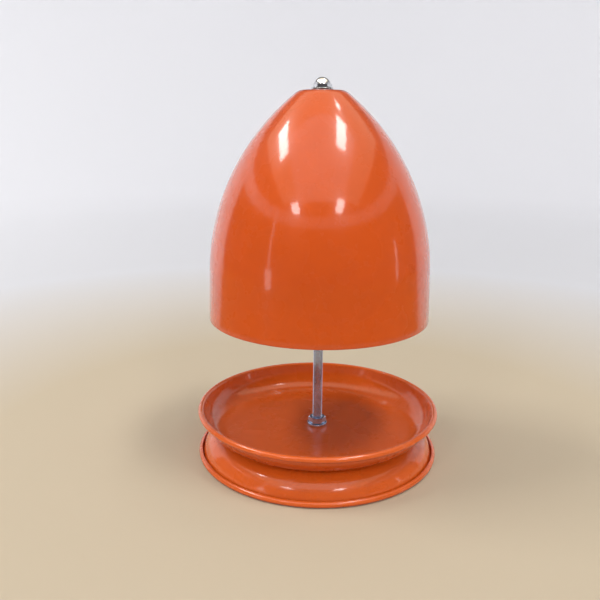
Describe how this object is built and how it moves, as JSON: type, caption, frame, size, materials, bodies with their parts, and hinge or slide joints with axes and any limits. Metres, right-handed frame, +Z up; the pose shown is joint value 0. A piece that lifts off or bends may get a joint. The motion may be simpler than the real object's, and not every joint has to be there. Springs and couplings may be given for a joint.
{
  "type": "domed cover on a threaded rod over a round dish",
  "caption": "Painted sheet-metal dome on a threaded rod above two round pans set back to back: the lower one stands rim down as the foot, the upper one is an open dish.",
  "frame": {"origin": "centre of the foot ring, on the surface that the object stands on", "axes": "+Z up along the rod, from the foot to the cap nut; the object is round, so +X and +Y are any two level directions at a right angle"},
  "size_m": [0.203, 0.203, 0.308],
  "materials": {
    "orange_paint": "glossy baked enamel with fine orange peel",
    "zinc_plate": "dull zinc plate",
    "bright_plate": "bright nickel or chrome plate"
  },
  "bodies": {
    "base": {"lower_pan": "orange_paint", "upper_pan": "orange_paint", "threaded_rod": "zinc_plate"},
    "base_washer": {"base_washer": "zinc_plate"},
    "base_nut": {"base_nut": "zinc_plate"},
    "pan_washer": {"pan_washer": "zinc_plate"},
    "pan_nut": {"pan_nut": "zinc_plate"},
    "dome_washer": {"dome_washer": "zinc_plate"},
    "dome_nut": {"dome_nut": "zinc_plate"},
    "dome": {"dome_shell": "orange_paint"},
    "cap_washer": {"cap_washer": "bright_plate"},
    "cap_nut": {"cap_nut": "bright_plate"}
  },
  "joints": [
    {"name": "dome_lift", "type": "slide", "parent": "base", "child": "dome", "axis": [0, 0, 1], "range_m": [0, 0.19]},
    {"name": "cap_nut_rise", "type": "slide", "parent": "dome", "child": "cap_washer", "axis": [0, 0, 1], "range_m": [0, 0.0063]},
    {"name": "cap_nut_turn", "type": "hinge", "parent": "cap_washer", "child": "cap_nut", "pos_m": [0, 0, 0.3], "axis": [0, 0, 1], "range_deg": [0, 1800]},
    {"name": "pan_nut_rise", "type": "slide", "parent": "base", "child": "pan_washer", "axis": [0, 0, 1], "range_m": [0, 0.0101]},
    {"name": "pan_nut_turn", "type": "hinge", "parent": "pan_washer", "child": "pan_nut", "pos_m": [0, 0, 0.025], "axis": [0, 0, 1], "range_deg": [0, 2880]},
    {"name": "dome_nut_drop", "type": "slide", "parent": "base", "child": "dome_washer", "axis": [0, 0, -1], "range_m": [0, 0.0101]},
    {"name": "dome_nut_turn", "type": "hinge", "parent": "dome_washer", "child": "dome_nut", "pos_m": [0, 0, 0.29], "axis": [0, 0, -1], "range_deg": [0, 2880]},
    {"name": "base_nut_drop", "type": "slide", "parent": "base", "child": "base_washer", "axis": [0, 0, -1], "range_m": [0, 0.0063]},
    {"name": "base_nut_turn", "type": "hinge", "parent": "base_washer", "child": "base_nut", "pos_m": [0, 0, 0.015], "axis": [0, 0, -1], "range_deg": [0, 1800]}
  ],
  "couplings": [
    {"joint": "cap_nut_rise", "follows": "cap_nut_turn", "m_per_rad": 0.00019894},
    {"joint": "pan_nut_rise", "follows": "pan_nut_turn", "m_per_rad": 0.00019894},
    {"joint": "dome_nut_drop", "follows": "dome_nut_turn", "m_per_rad": 0.00019894},
    {"joint": "base_nut_drop", "follows": "base_nut_turn", "m_per_rad": 0.00019894}
  ]
}
